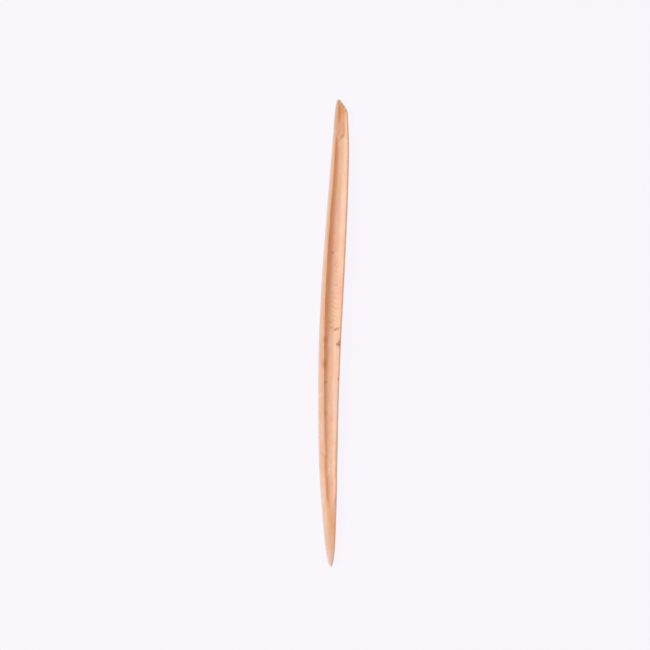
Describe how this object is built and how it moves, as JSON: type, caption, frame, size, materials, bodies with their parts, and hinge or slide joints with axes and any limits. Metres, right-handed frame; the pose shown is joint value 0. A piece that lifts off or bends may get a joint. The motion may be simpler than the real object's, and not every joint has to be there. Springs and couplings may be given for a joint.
{
  "type": "clay modeling tool",
  "caption": "Slender whittled wooden clay tool with a gentle bow, a round gutter along its face, a slanted scooped blade at one end and a rounded point at the other.",
  "frame": {"origin": "centre of the bounding box in plan, at the planed flat on the back that the tool rests on", "axes": "+Y runs from the lower point to the tip of the slanted blade, +Z is out of the face with the gutter, +X is to the right seen from above with the blade up"},
  "size_m": [0.012, 0.2, 0.0054],
  "materials": {
    "pale_wood": "bare whittled wood, lightly polished by use"
  },
  "bodies": {
    "root": {"modelling_stick": "pale_wood"}
  },
  "joints": []
}
